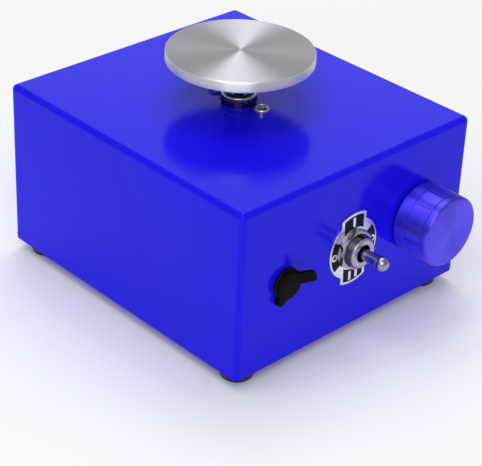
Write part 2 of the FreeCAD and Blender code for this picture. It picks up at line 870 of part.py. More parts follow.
# ---------------------------------------------------------------- toggle switch
def switch_plate():
    """Legend plate: a round washer with an upper and a lower tab."""
    disc = cylinder("legend_disc", "legend_radius", "legend_thickness")
    tabs = common(
        "legend_tabs",
        cylinder("legend_tab_arc", "legend_tab_radius", "legend_thickness"),
        block("legend_tab_strip", "legend_tab_width", "2 * legend_tab_radius", "legend_thickness"),
    )
    blank = fuse("legend_blank", disc, tabs)
    hole = cylinder("legend_hole", "bushing_radius + 0.1", 4, z=-1)
    plate = on_panel(cut("switch_plate", blank, hole), SWITCH)
    turn = FreeCAD.Rotation(FreeCAD.Vector(0, 0, 1), value("legend_turn"))
    plate.Placement.Rotation = OUTWARD.multiply(turn)
    node(plate, "switch_plate")


def switch_bushing():
    """Threaded bushing with a keyway, fixed to the steel bracket that holds the switch body."""
    back = "-sheet_gauge - 1"
    sleeve = turned(
        "bushing_sleeve",
        [
            ("bushing_bore", back),
            ("bushing_radius", back),
            ("bushing_radius", "bushing_reach - 1"),
            ("bushing_radius - 1", "bushing_reach"),
            ("bushing_mouth + 0.3", "bushing_reach"),
            ("bushing_mouth", "bushing_reach - 0.3"),
            ("bushing_mouth", "bushing_reach - 0.8"),
            ("bushing_bore", "bushing_reach - 0.8"),
        ],
    )
    bracket = block("switch_bracket", "switch_width + 0.8", "switch_height + 0.8", 1, z=back)
    opening = cylinder("bracket_opening", "bushing_bore", 3, z=f"{back} - 1")
    keyway = block("bushing_keyway", 1.6, 1.6, 12, y="bushing_radius", z="0.9")
    pin_hole = cylinder(
        "pivot_pin_hole", 0.8, 20, x=-10, z="lever_pivot",
        rotation=FreeCAD.Rotation(FreeCAD.Vector(0, 1, 0), 90),
    )
    joined = fuse("bushing_joined", sleeve, cut("bracket_pierced", bracket, opening))
    node(on_panel(cut("switch_bushing", joined, keyway, pin_hole), SWITCH), "switch_bushing")


def switch_fasteners():
    washer = ring("switch_washer", 8.8, "bushing_radius + 0.1", 0.5, z="legend_thickness")
    node(on_panel(washer, SWITCH), "switch_washer")
    blank = hexagon("switch_nut_blank", "nut_across", "nut_thickness")
    bevel = cone("switch_nut_bevel", "nut_across * 0.66", "nut_across / 2 + 0.1", "nut_thickness")
    hole = cylinder("switch_nut_hole", "bushing_radius + 0.02", 6, z=-1)
    nut = cut("switch_nut", common("switch_nut_bevelled", blank, bevel), hole)
    lifted = place(nut, SWITCH[0], f"{FRONT} - legend_thickness - 0.5", SWITCH[1], OUTWARD)
    node(lifted, "switch_nut")


def switch_lever():
    """Bat-shaped lever on a cross pin through its ball, with a short tail inside the switch."""
    tip = "lever_reach - lever_tip_radius"
    bat = cone(
        "lever_bat", "lever_neck_radius", "lever_tip_radius", f"{tip} - lever_pivot", "lever_pivot"
    )
    lever = fuse(
        "lever_joined",
        bat,
        ball("lever_end", "lever_tip_radius", z=tip),
        ball("lever_ball", "lever_ball_radius", z="lever_pivot"),
        cone("lever_tail", 0.9, 1.5, 9, "lever_pivot - 9"),
    )
    pin_hole = cylinder(
        "lever_pin_hole", 0.85, 20, x=-10, z="lever_pivot",
        rotation=FreeCAD.Rotation(FreeCAD.Vector(0, 1, 0), 90),
    )
    node(on_panel(cut("switch_lever", lever, pin_hole), SWITCH), "switch_lever")
    pin = cylinder(
        "pivot_pin_rod", 0.78, "2 * bushing_radius - 0.4", x="-bushing_radius + 0.2",
        z="lever_pivot", rotation=FreeCAD.Rotation(FreeCAD.Vector(0, 1, 0), 90),
    )
    node(on_panel(group("switch_pivot_pin", pin), SWITCH), "switch_pivot_pin")


def switch_blades(name):
    """Six solder blades out of the back of the switch."""
    low = "-sheet_gauge - 1 - switch_depth - 6"
    return [
        block(f"{name}_{column}_{row}", 0.8, 4.6, 10, 4.7 * column, 9.5 * row, low)
        for column in (-1, 1)
        for row in (-1, 0, 1)
    ]


def switch_body():
    """Moulded body, hollow where the lever's tail works, with slots for its six blades."""
    top = "-sheet_gauge - 1"
    moulding = block(
        "switch_moulding", "switch_width", "switch_height", "switch_depth",
        z=f"{top} - switch_depth",
    )
    room = block("switch_room", "switch_width - 5", "switch_height - 6", 10, z=f"{top} - 9")
    hollow = cut("switch_body_hollow", moulding, room, *switch_blades("blade_slot"))
    node(on_panel(hollow, SWITCH), "switch_body")
    blades = group("switch_terminals", *switch_blades("switch_blade"))
    node(on_panel(blades, SWITCH), "switch_terminals")


# ---------------------------------------------------------------- DC socket and rubber cap
def dc_socket():
    face = "cap_ring_thickness + socket_flange_thickness"
    moulding = turned(
        "dc_socket",
        [
            (0, "-socket_length"),
            ("socket_radius", "-socket_length"),
            ("socket_radius", "cap_ring_thickness"),
            ("socket_flange_radius", "cap_ring_thickness"),
            ("socket_flange_radius", f"{face} - 0.4"),
            ("socket_flange_radius - 0.4", face),
            ("socket_bore + 0.3", face),
            ("socket_bore", f"{face} - 0.3"),
            ("socket_bore", f"{face} - 9.5"),
            ("socket_pin_radius", f"{face} - 9.5"),
            ("socket_pin_radius", f"{face} - 9.6"),
            (0, f"{face} - 9.6"),
        ],
    )
    node(on_panel(moulding, SOCKET), "dc_socket")
    pin = turned(
        "dc_socket_pin",
        [
            (0, f"{face} - 9.6"),
            ("socket_pin_radius", f"{face} - 9.6"),
            ("socket_pin_radius", f"{face} - 2.6"),
            ("socket_pin_radius - 0.4", f"{face} - 2.2"),
            (0, f"{face} - 2.2"),
        ],
    )
    node(on_panel(pin, SOCKET), "dc_socket_pin")
    nut = cut(
        "dc_socket_nut",
        hexagon("socket_nut_blank", 14, 2.5, z="-sheet_gauge - 2.5"),
        cylinder("socket_nut_hole", "socket_radius + 0.02", 8, z="-sheet_gauge - 4"),
    )
    node(on_panel(nut, SOCKET), "dc_socket_nut")
    tabs = [
        block(f"socket_tab_{side}", 2.4, 0.5, 5, 0, f"{side}3.5", "-socket_length - 5")
        for side in ("-", "+")
    ]
    node(on_panel(group("dc_socket_terminals", *tabs), SOCKET), "dc_socket_terminals")


def cap_frame(item):
    """Turns an item so that its own -X points at the cap's strap, then puts it in place."""
    lean = FreeCAD.Rotation(FreeCAD.Vector(0, 0, 1), value("cap_lean"))
    return place(item, SOCKET[0], FRONT, SOCKET[1], OUTWARD.multiply(lean))


def dc_cap():
    """Rubber dust cap: a plug in the socket's mouth, a crowned disc, a pull tab, and an ear that
    hangs on the strap of the ring under the socket's flange."""
    face = "cap_ring_thickness + socket_flange_thickness"
    under = f"{face} + 0.3"
    disc = turned(
        "cap_disc",
        [
            (0, f"{face} - 1.5"),
            ("socket_bore - 0.45", f"{face} - 1.5"),
            ("socket_bore - 0.45", under),
            ("cap_radius - 0.3", under),
            ("cap_radius", f"{under} + 0.3"),
            ("cap_radius", f"{under} + cap_thickness - 0.8"),
            ("cap_radius - 0.6", f"{under} + cap_thickness - 0.2"),
            ("cap_radius - 1.6", f"{under} + cap_thickness"),
            (0, f"{under} + cap_thickness + 0.3"),
        ],
    )
    ear = block("cap_ear", 3.2, 4, 1, "-cap_strap_reach + 0.9 + 1.6", 0, under)
    tab = common(
        "cap_tab_rounded",
        block("cap_tab_strip", 8.2, 6.4, 1.6, 4.1, 0),
        cylinder("cap_tab_end", 8.2, 2, z=-0.1),
    )
    turn = FreeCAD.Rotation(FreeCAD.Vector(0, 0, 1), value("cap_tab_turn"))
    rise = FreeCAD.Rotation(FreeCAD.Vector(0, 1, 0), -value("cap_tab_rise"))
    reach = "(cap_radius - 2)"
    place(
        tab, f"{reach} * cos(cap_tab_turn * 1 deg)", f"{reach} * sin(cap_tab_turn * 1 deg)",
        under, turn.multiply(rise),
    )
    node(cap_frame(fuse("dc_cap", disc, ear, tab)), "dc_cap")

    band = ring("cap_band", "cap_radius", "socket_radius + 0.1", "cap_ring_thickness")
    foot = block("cap_band_ear", 4, 4, "cap_ring_thickness", "-cap_strap_reach - 0.6 + 2", 0)
    post = block("cap_strap", 1.2, 4, f"{face} + 0.9", "-cap_strap_reach", 0)
    opening = cylinder("cap_band_opening", "socket_radius + 0.1", 6, z=-1)
    joined = cut("cap_ring_joined", fuse("cap_ring_parts", band, foot, post), opening)
    node(cap_frame(joined), "dc_cap_ring")


# ---------------------------------------------------------------- speed controller
def controller():
    """Circuit board on four stand-offs over the base plate, with its larger components."""
    floor = "(foot_height + sheet_gauge)"
    top = f"({floor} + standoff_height + board_thickness)"
    middle = f"({AXIS_Y} + board_back)"
    posts, screws, holes = [], [], []
    for number, (sx, sy) in enumerate(((-1, -1), (-1, 1), (1, -1), (1, 1))):
        x = f"board_across + {sx} * standoff_across / 2"
        y = f"{middle} + {sy} * standoff_along / 2"
        posts.append(cylinder(f"standoff_{number}", 2.6, "standoff_height", x, y, floor))
        holes.append(cylinder(f"board_hole_{number}", 1.6, 6, x, y, f"{top} - 4"))
        screws.append(pan_screw(f"board_screw_{number}", 1.4, "board_thickness", 2.7, 1.8, x, y, top))
    card = block("board_card", "board_width", "board_length", "board_thickness",
                 "board_across", middle, f"{floor} + standoff_height")
    node(cut("controller_board", card, *holes), "controller_board")
    node(group("board_standoffs", *posts), "board_standoffs")

    edge = f"({middle} - board_length / 2)"
    strip = block("terminal_strip", 20, 7, 9, "board_across - 5", f"{edge} + 3", top)
    openings = []
    for pole in range(4):
        x = f"board_across - 12.5 + 5 * {pole}"
        y, head = f"{edge} + 3.5", f"{top} + 8"
        openings.append(block(f"terminal_mouth_{pole}", 3.2, 3, 3.4, x, f"{edge} + 0.6", f"{top} + 1.3"))
        openings.append(cylinder(f"terminal_seat_{pole}", 1.75, 2, x, y, head))
        screws.append(cylinder(f"terminal_screw_{pole}", 1.7, 0.8, x, y, head))
    node(cut("board_terminal_strip", strip, *openings), "board_terminal_strip")
    node(group("board_screws", *screws), "board_screws")
    node(block("board_header", 8, 4, 4, "board_across + 11.6", f"{edge} + 2", top), "board_header")

    plate = block("sink_plate", 2, 22, 20, "board_across + 13", f"{middle} + 6", top)
    fins = [
        block(f"sink_fin_{row}", 6, 1.2, 20, "board_across + 9.5", f"{middle} - 4 + 5 * {row}", top)
        for row in range(5)
    ]
    node(fuse("board_heat_sink", plate, *fins), "board_heat_sink")
    transistor = block("transistor_case", 4.4, 10, 15, "board_across + 16.2", f"{middle} + 6", top)
    timer = block("timer_chip", 6.4, 9.4, 3.4, "board_across - 5", f"{middle} + 14", top)
    node(group("board_chips", transistor, timer), "board_chips")
    cans = [
        cylinder(f"capacitor_{row}", 4, 12, "board_across - 3", f"{middle} - 8 + 9 * {row}", top)
        for row in range(2)
    ]
    node(group("board_capacitors", *cans), "board_capacitors")


# ---------------------------------------------------------------- wiring
def wire(name, points, radius):
    """A round wire along straight runs joined by tangent arcs, as large as the runs allow."""
    spots = [FreeCAD.Vector(*point) for point in points]
    edges, start = [], spots[0]
    for before, corner, after in zip(spots, spots[1:], spots[2:]):
        back, ahead = (before - corner), (after - corner)
        shorter = min(back.Length, ahead.Length)
        half_turn = (math.pi - back.getAngle(ahead)) / 2
        trim = 0.45 * shorter
        bend = trim / math.tan(half_turn)
        enter = corner + back.normalize() * trim
        leave = corner + ahead.normalize() * trim
        inward = (back + ahead).normalize()
        middle = corner + inward * (bend / math.cos(half_turn) - bend)
        edges += [Part.LineSegment(start, enter).toShape(), Part.Arc(enter, middle, leave).toShape()]
        start = leave
    edges.append(Part.LineSegment(start, spots[-1]).toShape())
    path = Part.Wire(edges)
    section = Part.Wire([Part.makeCircle(radius, spots[0], spots[1] - spots[0])])
    tube = path.makePipeShell([section], True, False)
    item = doc.addObject("Part::Feature", name)
    item.Shape = tube
    return item


def wiring():
    """Six hook-up wires and the potentiometer's three leads, between terminals inside the case."""
    radius = value("wire_radius")
    front, axis = value(FRONT), value(AXIS_Y)
    knob_x, pot_z = value(KNOB[0]), value(KNOB[1])
    switch_x, level = value(SWITCH[0]), value(SWITCH[1])
    socket_x, socket_z = value(SOCKET[0]), value(SOCKET[1])
    socket_back = front + value("socket_length") + 5
    blade_back = front + value("sheet_gauge + 1 + switch_depth + 6")
    board_edge = axis + value("board_back - board_length / 2")
    board_top = value("foot_height + sheet_gauge + standoff_height + board_thickness")
    entry = board_top + 3
    poles = [value("board_across") - 12.5 + 5 * pole for pole in range(4)]
    motor_low = value(f"{MOTOR_FACE} - motor_length") - 3.4
    lane_a, lane_b = front + 39, front + 35.5
    upper = level + 9.5

    red = {
        "wire_supply_live": [
            (socket_x, socket_back, socket_z + 3.5),
            (socket_x, lane_a, socket_z + 3.5),
            (socket_x, lane_a, entry),
            (poles[0], lane_a, entry),
            (poles[0], board_edge + 0.5, entry),
        ],
        "wire_switch_live": [
            (poles[2], board_edge + 0.5, entry),
            (poles[2], front + 44, entry + 6),
            (switch_x + 4.7, front + 44, entry + 12),
            (switch_x + 4.7, front + 44, level),
            (switch_x + 4.7, blade_back, level),
        ],
        "wire_motor_live": [
            (switch_x - 4.7, blade_back, upper),
            (switch_x - 4.7, front + 42, upper),
            (-30, axis - 22, upper),
            (-30, axis - 22, motor_low),
            (-22, axis, motor_low),
            (-14.4, axis, motor_low),
        ],
    }
    black = {
        "wire_supply_return": [
            (socket_x, socket_back, socket_z - 3.5),
            (socket_x, lane_b, socket_z - 3.5),
            (socket_x, lane_b, entry + 4),
            (poles[1], lane_b, entry + 4),
            (poles[1], board_edge + 0.5, entry),
        ],
        "wire_switch_return": [
            (poles[3], board_edge + 0.5, entry),
            (poles[3], front + 48, entry + 10),
            (switch_x - 4.7, front + 48, entry + 16),
            (switch_x - 4.7, front + 48, level),
            (switch_x - 4.7, blade_back, level),
        ],
        "wire_motor_return": [
            (switch_x + 4.7, blade_back, upper),
            (switch_x + 4.7, front + 42, upper),
            (30, axis - 20, upper),
            (30, axis - 20, motor_low),
            (22, axis, motor_low),
            (14.4, axis, motor_low),
        ],
    }
    for label, routes in (("wires_red", red), ("wires_black", black)):
        runs = [wire(name, points, radius) for name, points in routes.items()]
        node(group(label, *runs), label)

    tab_depth = front + value("sheet_gauge") + 3.7
    leads = [
        wire(
            f"pot_lead_{number}",
            [
                (knob_x + 5 * number, tab_depth, pot_z - 18.7),
                (knob_x + 5 * number, tab_depth, board_top + 1.5),
                (value("board_across") + 11.6 + 2.6 * number, front + 26, board_top + 1.5),
                (value("board_across") + 11.6 + 2.6 * number, board_edge, board_top + 1.5),
            ],
            0.75 * radius,
        )
        for number in (-1, 0, 1)
    ]
    node(group("pot_leads", *leads), "pot_leads")


# ---------------------------------------------------------------- build, check and export
def build():
    for make in (
        housing, base_plate, feet,
        wheel_head, wheel_hub, hub_fasteners,
        motor_can, motor_flux_ring, motor_magnets, motor_end_cap, motor_bearings,
        motor_brushes, motor_screws, motor_shaft, armature,
        knob_shell, knob_insert, potentiometer,
        switch_plate, switch_bushing, switch_fasteners, switch_lever, switch_body,
        dc_socket, dc_cap, controller, wiring,
    ):
        make()
    doc.recompute()


def check():
    failed = [item.Name for item in doc.Objects if {"Invalid", "Error"} & set(item.State)]
    if failed:
        raise SystemExit(f"these objects failed: {failed}")
    for item in NODES:
        shape = item.Shape
        if shape.isNull() or not shape.isValid() or not shape.Solids or shape.Volume <= 0:
            raise SystemExit(f"{item.Label} has no valid solid")
        print(f"{item.Label:24s} solids {len(shape.Solids):2d}  volume {shape.Volume:10.1f}")


def export():
    os.makedirs("parts", exist_ok=True)
    for item in NODES:
        item.Shape.exportStep(f"parts/{item.Label}.step")
    print(len(NODES), "sub-parts")


build()
check()
export()
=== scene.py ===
import json
import math

import bmesh
import bpy
from mathutils import Matrix, Vector


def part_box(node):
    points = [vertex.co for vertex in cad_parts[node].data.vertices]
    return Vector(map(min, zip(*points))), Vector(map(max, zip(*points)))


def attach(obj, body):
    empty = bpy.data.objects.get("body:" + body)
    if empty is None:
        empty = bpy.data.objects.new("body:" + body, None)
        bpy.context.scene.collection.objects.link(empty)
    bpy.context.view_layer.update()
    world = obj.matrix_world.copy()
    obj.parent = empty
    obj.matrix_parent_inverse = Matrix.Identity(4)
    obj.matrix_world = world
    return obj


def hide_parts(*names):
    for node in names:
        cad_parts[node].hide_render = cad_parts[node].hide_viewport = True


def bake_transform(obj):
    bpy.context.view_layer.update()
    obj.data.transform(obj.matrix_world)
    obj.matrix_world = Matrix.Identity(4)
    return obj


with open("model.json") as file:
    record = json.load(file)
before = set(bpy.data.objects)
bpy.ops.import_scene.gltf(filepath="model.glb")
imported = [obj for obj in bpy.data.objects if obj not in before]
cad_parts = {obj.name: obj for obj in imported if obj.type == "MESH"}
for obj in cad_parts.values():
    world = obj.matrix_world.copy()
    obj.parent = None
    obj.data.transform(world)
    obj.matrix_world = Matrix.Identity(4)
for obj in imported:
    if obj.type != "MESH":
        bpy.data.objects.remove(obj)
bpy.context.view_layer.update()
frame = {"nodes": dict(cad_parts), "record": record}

MM = 0.001
AXIS_Y = 10.0                   # the wheel's axis, mm
PANEL_Y = -64.5                 # outer face of the control panel
SWITCH = (-2.9, 45.1)           # places on the control panel: across and up
KNOB = (37.2, 46.0)
LEGEND_TURN = 3
SOCKET = (-42.0, 43.7)
CASE_TOP = 84.0
BOSS_TOP = 87.9
MOTOR_SCREW_REACH = 14.5
HEAD_UNDER = 103.0              # underside of the wheel's disc
LEGEND_RADIUS = 14.0
LEGEND_TAB_REACH, LEGEND_TAB_HALF = 17.0, 7.2
LEGEND_FACE = 0.8               # the plate's outer face, out from the panel
BARREL_BORE, BARREL_RADIUS = 4.45, 7.25
SWITCH_BODY = (18.8, 32.8)      # width and height behind the panel
BOX_REACH = 20                  # nominal radius of a ring that becomes a rectangle
CAP_LEAN = 60                   # the strap's direction round the socket, degrees
CAP_UNDER = 1.7                 # the cap's underside, out from the panel
CAP_THICKNESS = 1.6
TAB_TURN, TAB_RISE = -36, 45    # the pull tab's direction and slope, degrees


# ---------------------------------------------------------------- camera, light and floor
def set_camera():
    """The viewing angle: 44 degrees round to the left, 30 degrees down, with a slight roll."""
    azimuth, elevation, roll = math.radians(-44.25), math.radians(30.0), math.radians(2.41)
    case_width = 0.135
    back = Vector((math.sin(azimuth) * math.cos(elevation),
                   -math.cos(azimuth) * math.cos(elevation),
                   math.sin(elevation)))
    right = Vector((math.cos(azimuth), math.sin(azimuth), 0))
    up = back.cross(right)
    side = right * math.cos(roll) + up * math.sin(roll)
    head = -right * math.sin(roll) + up * math.cos(roll)
    middle = Vector((0, AXIS_Y * MM, 0.0451))
    place = middle + (back * 5.459 + side * -0.0011 + head * -0.0814) * case_width
    camera = bpy.data.cameras.new("camera")
    camera.sensor_width = 36
    camera.lens = 123.2
    camera.shift_x = 0.0123
    camera.shift_y = -0.0635
    camera.clip_start, camera.clip_end = 0.01, 20
    viewer = bpy.data.objects.new("camera", camera)
    turn = Matrix((side, head, back)).transposed().to_4x4()
    viewer.matrix_world = Matrix.Translation(place) @ turn
    bpy.context.collection.objects.link(viewer)
    bpy.context.scene.camera = viewer


def softbox(name, azimuth, elevation, distance, size, radiance):
    """A rectangular light that faces the object, with its brightness given as radiance."""
    turn, tilt = math.radians(azimuth), math.radians(elevation)
    away = Vector((math.sin(turn) * math.cos(tilt), -math.cos(turn) * math.cos(tilt),
                   math.sin(tilt)))
    light = bpy.data.lights.new(name, "AREA")
    light.shape = "RECTANGLE"
    light.size, light.size_y = size
    light.energy = radiance * math.pi * size[0] * size[1]
    lamp = bpy.data.objects.new(name, light)
    lamp.location = Vector((0, 0, 0.06)) + away * distance
    lamp.rotation_euler = away.to_track_quat("Z", "Y").to_euler()
    bpy.context.collection.objects.link(lamp)


def set_studio():
    scene = bpy.context.scene
    scene.view_settings.view_transform = "Standard"
    world = bpy.data.worlds.new("studio")
    scene.world = world
    world.use_nodes = True
    background = world.node_tree.nodes["Background"]
    background.inputs["Color"].default_value = (1, 1, 1, 1)
    background.inputs["Strength"].default_value = 0.40
    softbox("key", -48, 38, 1.5, (1.0, 1.0), 3.2)
    softbox("side", -105, 66, 1.5, (0.5, 0.5), 3.6)
    softbox("top", 136, 72, 1.4, (0.8, 0.8), 2.8)
    softbox("back", 136, 38, 1.4, (0.8, 1.2), 0.62)

    bpy.ops.mesh.primitive_plane_add(size=8, location=(0, 0, -0.0002))
    floor = bpy.context.object
    floor.name = "floor"
    pale = bpy.data.materials.new("floor")
    pale.use_nodes = True
    shader = pale.node_tree.nodes["Principled BSDF"]
    shader.inputs["Base Color"].default_value = (0.95, 0.95, 0.95, 1)
    shader.inputs["Roughness"].default_value = 0.9
    shader.inputs["Specular IOR Level"].default_value = 0.1
    floor.data.materials.append(pale)


# ---------------------------------------------------------------- materials
class Surface:
    """A Principled material built from nodes, in the object's own space, in metres."""

    def __init__(self, name):
        self.material = bpy.data.materials.new(name)
        self.material.use_nodes = True
        self.tree = self.material.node_tree
        self.shader = self.tree.nodes["Principled BSDF"]
        self.space = self.add("ShaderNodeTexCoord").outputs["Object"]
        self.height = None

    def add(self, kind, **settings):
        node = self.tree.nodes.new(kind)
        for key, setting in settings.items():
            setattr(node, key, setting)
        return node

    def link(self, source, target):
        self.tree.links.new(source, target)

    def constant(self, **sockets):
        """Sets numbers and colours on the shader itself."""
        for key, number in sockets.items():
            socket = self.shader.inputs[key.replace("_", " ")]
            socket.default_value = (*number, 1) if isinstance(number, tuple) else number
        return self

    def noise(self, scale, detail=3, roughness=0.5, stretch=None):
        texture = self.add("ShaderNodeTexNoise")
        texture.inputs["Scale"].default_value = scale
        texture.inputs["Detail"].default_value = detail
        texture.inputs["Roughness"].default_value = roughness
        source = self.space
        if stretch:
            mapping = self.add("ShaderNodeMapping")
            mapping.inputs["Scale"].default_value = stretch
            self.link(self.space, mapping.inputs["Vector"])
            source = mapping.outputs["Vector"]
        self.link(source, texture.inputs["Vector"])
        return texture.outputs["Fac"]

    def span(self, source, low, high, source_low=0.3, source_high=0.7):
        """Maps a grey value to a range of numbers."""
        node = self.add("ShaderNodeMapRange")
        node.inputs["From Min"].default_value = source_low
        node.inputs["From Max"].default_value = source_high
        node.inputs["To Min"].default_value = low
        node.inputs["To Max"].default_value = high
        self.link(source, node.inputs["Value"])
        return node.outputs["Result"]

    def math(self, operation, first, second=None):
        node = self.add("ShaderNodeMath", operation=operation)
        for socket, item in zip(node.inputs, (first, second)):
            if isinstance(item, (int, float)):
                socket.default_value = item
            elif item is not None:
                self.link(item, socket)
        return node.outputs["Value"]

    def colours(self, source, stops):
        """Maps a grey value to a colour, blended between the stops."""
        ramp = self.add("ShaderNodeValToRGB")
        points = ramp.color_ramp.elements
        while len(points) < len(stops):
            points.new(0.5)
        for point, (place, colour) in zip(points, stops):
            point.position = place
            point.color = (*colour, 1)
        self.link(source, ramp.inputs["Fac"])
        return ramp.outputs["Color"]

    def tint(self, source):
        self.link(source, self.shader.inputs["Base Color"])
        return self

    def rough(self, source):
        self.link(source, self.shader.inputs["Roughness"])
        return self

    def bump(self, source, distance, strength=1.0):
        """Adds relief of this height in metres over what is already there."""
        node = self.add("ShaderNodeBump")
        node.inputs["Distance"].default_value = distance
        node.inputs["Strength"].default_value = strength
        self.link(source, node.inputs["Height"])
        if self.height:
            self.link(self.height, node.inputs["Normal"])
        self.height = node.outputs["Normal"]
        self.link(self.height, self.shader.inputs["Normal"])
        return self

    def distance_from(self, axis, centre):
        """Distance from a line along an axis through a centre."""
        shift = self.add("ShaderNodeVectorMath", operation="SUBTRACT")
        self.link(self.space, shift.inputs[0])
        shift.inputs[1].default_value = centre
        split = self.add("ShaderNodeSeparateXYZ")
        self.link(shift.outputs["Vector"], split.inputs["Vector"])
        first, second = [split.outputs[letter] for letter in "XYZ" if letter != axis]
        square = self.math("ADD", self.math("MULTIPLY", first, first),
                           self.math("MULTIPLY", second, second))
        return self.math("SQRT", square)


def shade(colour, factor):
    return tuple(min(1.0, channel * factor) for channel in colour)


def coated(name, colour, roughness=0.14, peel=0.000006):
    """Gloss enamel with a faint orange-peel surface."""
    s = Surface(name)
    cloud = s.noise(9, 2)
    s.tint(s.colours(cloud, [(0.3, shade(colour, 0.95)), (0.7, shade(colour, 1.05))]))
    s.rough(s.span(s.noise(160, 4), roughness - 0.02, roughness + 0.05))
    s.bump(s.noise(420, 2), peel, 0.5)
    s.constant(IOR=1.22)
    return s.material


def metal(name, colour, roughness, grain=(1, 1, 1), grain_scale=900, relief=0.000003, spread=0.06):
    """Machined, drawn or plated metal with fine marks along one direction."""
    s = Surface(name)
    marks = s.noise(grain_scale, 4, 0.6, grain)
    stain = s.noise(45, 3)
    s.tint(s.colours(marks, [(0.25, shade(colour, 0.88)), (0.75, shade(colour, 1.08))]))
    s.rough(s.math("ADD", s.span(stain, roughness - spread / 2, roughness + spread / 2),
                   s.span(marks, -0.02, 0.03)))
    s.bump(marks, relief, 0.6)
    s.constant(Metallic=1.0)
    return s.material


def moulded(name, colour, roughness, relief=0.00001, scale=1500, coat=0.0, specular=0.5):
    """Plastic or rubber with a fine moulded skin."""
    s = Surface(name)
    skin = s.noise(scale, 3, 0.6)
    s.tint(s.colours(s.noise(70, 3), [(0.3, shade(colour, 0.85)), (0.7, shade(colour, 1.15))]))
    s.rough(s.span(skin, roughness - 0.05, roughness + 0.07))
    s.bump(skin, relief, 0.5)
    s.constant(Coat_Weight=coat, Coat_Roughness=0.1, Specular_IOR_Level=specular)
    return s.material


def turned_metal(name, colour, roughness, axis, centre, pitch, relief, anisotropic=0.0,
                 edge=None, rim_highlight_colour=None):
    """Metal faced on a lathe: rings at this pitch, and a shine that fans out from the centre.
    Beyond the edge radius, in metres, it takes the rim highlight colour: a painted highlight,
    brighter than the face and yellowed to offset the blue the rim reflects."""
    s = Surface(name)
    radius = s.distance_from(axis, centre)
    rings = s.add("ShaderNodeTexNoise", noise_dimensions="1D")
    rings.inputs["Scale"].default_value = 1 / pitch
    rings.inputs["Detail"].default_value = 4
    rings.inputs["Roughness"].default_value = 0.65
    s.link(radius, rings.inputs["W"])
    lines = rings.outputs["Fac"]
    face = s.colours(lines, [(0.25, shade(colour, 0.80)), (0.75, shade(colour, 1.12))])
    # painted highlight: past the edge radius the colour switches to the brighter, yellowed rim
    # colour
    if edge:
        rim = s.add("ShaderNodeMix", data_type="RGBA")
        s.link(s.math("GREATER_THAN", radius, edge), rim.inputs["Factor"])
        s.link(face, rim.inputs[6])
        rim.inputs[7].default_value = (*rim_highlight_colour, 1)
        face = rim.outputs[2]
    s.tint(face)
    s.rough(s.span(lines, roughness - 0.03, roughness + 0.05))
    s.bump(lines, relief, 0.5)
    s.constant(Metallic=1.0, Anisotropic=anisotropic, Anisotropic_Rotation=0.25)
    if anisotropic:
        tangent = s.add("ShaderNodeTangent", direction_type="RADIAL", axis=axis)
        s.link(tangent.outputs["Tangent"], s.shader.inputs["Tangent"])
    return s.material


BLUE = (0.009, 0.005, 0.765)
WHEEL_CENTRE = (0, AXIS_Y * MM, 0)
KNOB_CENTRE = (KNOB[0] * MM, 0, KNOB[1] * MM)


def board_material():
    s = Surface("circuit_board")
    cells = s.add("ShaderNodeTexVoronoi", feature="DISTANCE_TO_EDGE", distance="CHEBYCHEV")
    cells.inputs["Scale"].default_value = 180
    s.link(s.space, cells.inputs["Vector"])
    tracks = s.span(cells.outputs["Distance"], 1, 0, 0.02, 0.06)
    s.tint(s.colours(tracks, [(0.0, (0.010, 0.11, 0.045)), (1.0, (0.03, 0.24, 0.10))]))
    s.rough(s.span(s.noise(400), 0.25, 0.4))
    s.bump(tracks, 0.00003, 0.6)
    s.constant(Coat_Weight=0.4, Coat_Roughness=0.15)
    return s.material


def winding_material():
    s = Surface("enamelled_copper")
    strands = s.noise(2500, 2, 0.5, (1, 1, 0.08))
    s.tint(s.colours(strands, [(0.3, (0.28, 0.09, 0.03)), (0.7, (0.72, 0.30, 0.12))]))
    s.rough(s.span(strands, 0.25, 0.45))
    s.bump(strands, 0.00015, 0.8)
    s.constant(Metallic=0.9, Coat_Weight=0.4)
    return s.material


def core_material():
    s = Surface("laminated_core")
    split = s.add("ShaderNodeSeparateXYZ")
    s.link(s.space, split.inputs["Vector"])
    sheets = s.math("SINE", s.math("MULTIPLY", split.outputs["Z"], 2 * math.pi / 0.0005))
    s.tint(s.colours(sheets, [(0.0, (0.10, 0.10, 0.11)), (0.9, (0.38, 0.39, 0.41))]))
    s.rough(s.span(s.noise(300), 0.35, 0.5))
    s.bump(sheets, 0.00004, 0.6)
    s.constant(Metallic=1.0)
    return s.material


